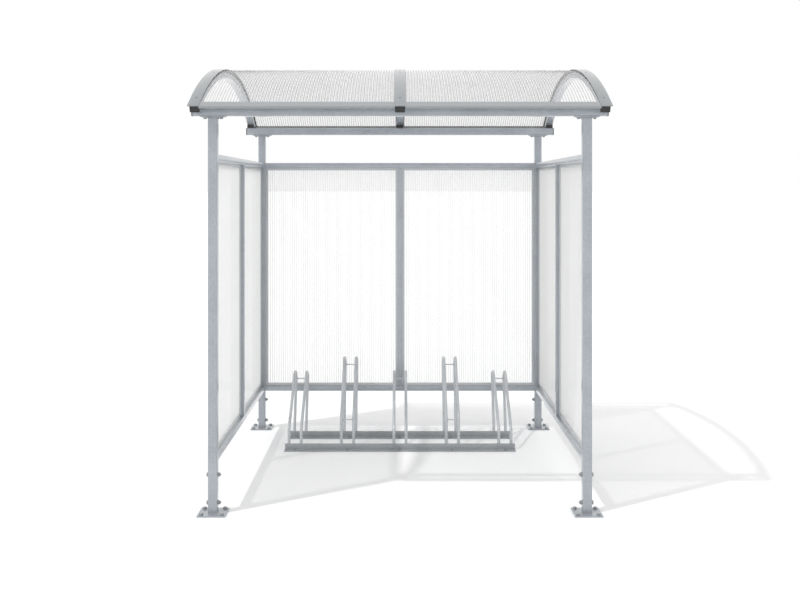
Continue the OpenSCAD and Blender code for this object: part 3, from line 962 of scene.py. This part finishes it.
class SHELTER_OT_fasteners(ShelterOperator, bpy.types.Operator):
    """Add the anchors, cross bolts and head plate bolts"""

    bl_idname = "shelter.fasteners"
    bl_label = "Bolts and nuts"
    slim = 0.9  # share of the usual head size that fits the head plates

    def build(self, scene):
        f, t = scene.shelter_fasteners, scene.shelter_tubes
        for end in ENDS:
            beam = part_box(f"{end}_beam")
            for side, sx in SIDES.items():
                foot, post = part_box(f"foot_{end}_{side}"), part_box(f"post_{end}_{side}")
                mid, half = middle(foot), t.post_width / 2
                top = post[0].z
                bm = bmesh.new()
                for dx in (-1, 1):
                    for dy in (-1, 1):
                        at = Vector((mid.x + dx * f.anchor_pitch / 2, mid.y + dy * f.anchor_pitch / 2, top))
                        bolt_head(bm, at, Z, f.anchor)
                piece(f"anchors_{end}_{side}", bm, "bolt_zinc")
                bm = bmesh.new()
                for z in (f.bolt_low, f.bolt_high):
                    bolt_head(bm, Vector((mid.x + sx * half, mid.y, z)), X * sx, f.cross_bolt)
                    nut(bm, Vector((mid.x - sx * half, mid.y, z)), X * -sx, f.cross_bolt)
                piece(f"cross_bolts_{end}_{side}", bm, "bolt_zinc")
                bm = bmesh.new()
                for dx in (-1, 1):
                    at = Vector((mid.x + dx * f.plate_reach, mid.y, 0))
                    bolt_head(bm, at + Z * (post[1].z - t.head_plate), -Z, f.plate_bolt * self.slim)
                    nut(bm, at + Z * beam[1].z, Z, f.plate_bolt * self.slim)
                piece(f"head_bolts_{end}_{side}", bm, "bolt_zinc")


class SHELTER_OT_rack(ShelterOperator, bpy.types.Operator):
    """Add the rack's ground bolts and weld beads"""

    bl_idname = "shelter.rack"
    bl_label = "Rack bolts and welds"
    top_bend = 0.065  # radius of the hoops' top bends
    rod_turn = math.radians(6.0)  # how far round the bend the upper rod sits
    low_rod = 0.196  # height of a high stand's lower rod
    high_stand = 0.5  # a stand taller than this has a lower rod
    bead_tops = {"front": 0.036, "rear": 0.011}  # tops of the beads between hoops and rails
    bead_foot, bead_step = 0.003, 0.0012  # where those beads start, and their rings' distance
    bead_side, bead_proud = 0.0062, 0.0012  # their places beside the hoop and off the rail
    rod_bead, rod_ripple = 0.62, 0.0022  # size and ripple of the beads round the rods
    rod_gap, rod_reach = 0.0008, 0.0006  # their places off the hoop and round the rod

    def build(self, scene):
        f, k = scene.shelter_fasteners, scene.shelter_rack
        front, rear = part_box("rack_front_rail"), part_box("rack_rear_rail")
        stands = sorted(n for n in NODES if n.startswith("rack_stand_"))
        rails = {"front": front, "rear": rear}
        for name, box in rails.items():
            bm = bmesh.new()
            for stand in stands:
                x = middle(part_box(stand)).x
                bolt_head(bm, Vector((x, box[0].y + k.leg / 2, k.plate)), Z, f.rack_bolt)
            piece(f"rack_{name}_bolts", bm, "bolt_zinc")
        for stand in stands:
            lo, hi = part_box(stand)
            x, bm = middle((lo, hi)).x, bmesh.new()
            for sx in (-1, 1):
                axis_x = x + sx * k.hoop_gap / 2
                for name, box in rails.items():
                    rise = self.bead_tops[name] - self.bead_foot
                    for side in (-1, 1):
                        bead_x, bead_y = axis_x + side * self.bead_side, box[1].y + self.bead_proud
                        at = Vector((bead_x, bead_y, self.bead_foot))
                        path = resample([at, at + Z * rise], self.bead_step, closed=False)
                        weld_bead(bm, path, k.weld, closed=False)
                for rod in self.rods(hi, front, k):
                    at = rod + X * (x + sx * (k.hoop_gap / 2 - k.hoop / 2 - self.rod_gap))
                    loop = ring(circle(k.rod / 2 + self.rod_reach, 24), at, Y, Z)
                    weld_bead(bm, loop, k.weld * self.rod_bead, ripple=self.rod_ripple)
            piece(f"{stand}_welds", bm, "weld_zinc", sharp=80.0)

    def rods(self, hi, front, k):
        """The middles of a stand's rods at X = 0: at the top bend, and low in front on a high stand."""
        bend, turn = self.top_bend, self.rod_turn
        centre_y, centre_z = hi.y - bend - k.hoop / 2, hi.z - bend - k.hoop / 2
        spots = [Vector((0, centre_y + bend * math.cos(turn), centre_z + bend * math.sin(turn)))]
        if hi.z > self.high_stand:
            spots.append(Vector((0, front[1].y - k.plate + k.foot_line, self.low_rod)))
        return spots


class SHELTER_OT_stage(ShelterOperator, bpy.types.Operator):
    """Set the floor, the light and the camera"""

    bl_idname = "shelter.stage"
    bl_label = "Floor, light and camera"
    floor_tones = ((0.92, 0.92, 0.92, 1.0), (0.935, 0.935, 0.935, 1.0))
    floor_half = 500.0  # half the floor's side, so that its edge doesn't show
    floor_drop = 0.0005  # gap under the feet
    sun_angle = math.radians(1.5)  # how soft the shadows' edges are
    sun_way = Vector((1.1, 0.75, -2.15))  # the way that the sunlight travels
    sensor, clip_start, clip_end = 36.0, 0.05, 1000.0

    def build(self, scene):
        s = scene.shelter_stage
        g = Graph("pale_floor")
        tint = g.mix(g.noise(1.5, 3.0), *self.floor_tones)
        floor_finish = g.finish(Base_Color=tint, Roughness=0.9, Specular_IOR_Level=0.1)
        mesh = bpy.data.meshes.new("floor")
        half = self.floor_half
        corners = [(-half, -half, 0), (half, -half, 0), (half, half, 0), (-half, half, 0)]
        mesh.from_pydata(corners, [], [(0, 1, 2, 3)])
        mesh.materials.append(floor_finish)
        floor = bpy.data.objects.new("floor", mesh)
        floor.location.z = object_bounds()[0].z - self.floor_drop
        scene.collection.objects.link(floor)
        floor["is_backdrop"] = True

        world = bpy.data.worlds.new("studio")
        world.use_nodes = True
        sky = world.node_tree.nodes["Background"]
        sky.inputs["Color"].default_value = (1.0, 1.0, 1.0, 1.0)
        sky.inputs["Strength"].default_value = s.sky
        scene.world = world
        scene.view_settings.view_transform = "Standard"

        light = bpy.data.lights.new("sun", "SUN")
        light.energy = s.sun
        light.angle = self.sun_angle
        sun = bpy.data.objects.new("sun", light)
        sun.rotation_euler = self.sun_way.to_track_quat("-Z", "Y").to_euler()
        scene.collection.objects.link(sun)

        lens = bpy.data.cameras.new("camera")
        lens.lens, lens.sensor_width, lens.shift_y = s.lens, self.sensor, -s.drop
        lens.clip_start, lens.clip_end = self.clip_start, self.clip_end
        camera = bpy.data.objects.new("camera", lens)
        camera.location = (0.0, -s.distance, s.height)
        camera.rotation_euler = (math.pi / 2, 0.0, 0.0)
        scene.collection.objects.link(camera)
        scene.camera = camera


# ---------------------------------------------------------------- panel and registration


STEPS = (
    SHELTER_OT_finishes,
    SHELTER_OT_posts,
    SHELTER_OT_beams,
    SHELTER_OT_arches,
    SHELTER_OT_caps,
    SHELTER_OT_rails,
    SHELTER_OT_glazing,
    SHELTER_OT_wall_sheets,
    SHELTER_OT_roof_sheets,
    SHELTER_OT_cover_strips,
    SHELTER_OT_fasteners,
    SHELTER_OT_rack,
    SHELTER_OT_stage,
)

SETTINGS = {
    "shelter_tubes": TubeSettings,
    "shelter_roof": RoofSettings,
    "shelter_sheets": SheetSettings,
    "shelter_glazing": GlazingSettings,
    "shelter_fasteners": FastenerSettings,
    "shelter_rack": RackSettings,
    "shelter_finishes": FinishSettings,
    "shelter_stage": StageSettings,
}


class SHELTER_PT_panel(bpy.types.Panel):
    """The sidebar panel with every size and step"""

    bl_idname = "SHELTER_PT_panel"
    bl_label = "Bicycle shelter"
    bl_space_type = "VIEW_3D"
    bl_region_type = "UI"
    bl_category = "Shelter"

    def draw(self, context):
        for name, group in SETTINGS.items():
            box = self.layout.box()
            box.label(text=group.__doc__)
            for key in group.__annotations__:
                box.prop(getattr(context.scene, name), key)
        for step in STEPS:
            self.layout.operator(step.bl_idname)


def register():
    """Adds the settings, steps and panel."""
    for group in (*SETTINGS.values(), *STEPS, SHELTER_PT_panel):
        bpy.utils.register_class(group)
    for name, group in SETTINGS.items():
        setattr(bpy.types.Scene, name, bpy.props.PointerProperty(type=group))


def unregister():
    """Takes the settings, steps and panel out again."""
    for name in SETTINGS:
        delattr(bpy.types.Scene, name)
    for group in reversed((*SETTINGS.values(), *STEPS, SHELTER_PT_panel)):
        bpy.utils.unregister_class(group)


def main():
    """Builds everything in order."""
    register()
    for step in STEPS:
        group, name = step.bl_idname.split(".")
        if getattr(getattr(bpy.ops, group), name)() != {"FINISHED"}:
            raise RuntimeError(f"{step.bl_idname} did not finish")


if __name__ == "__main__":
    main()
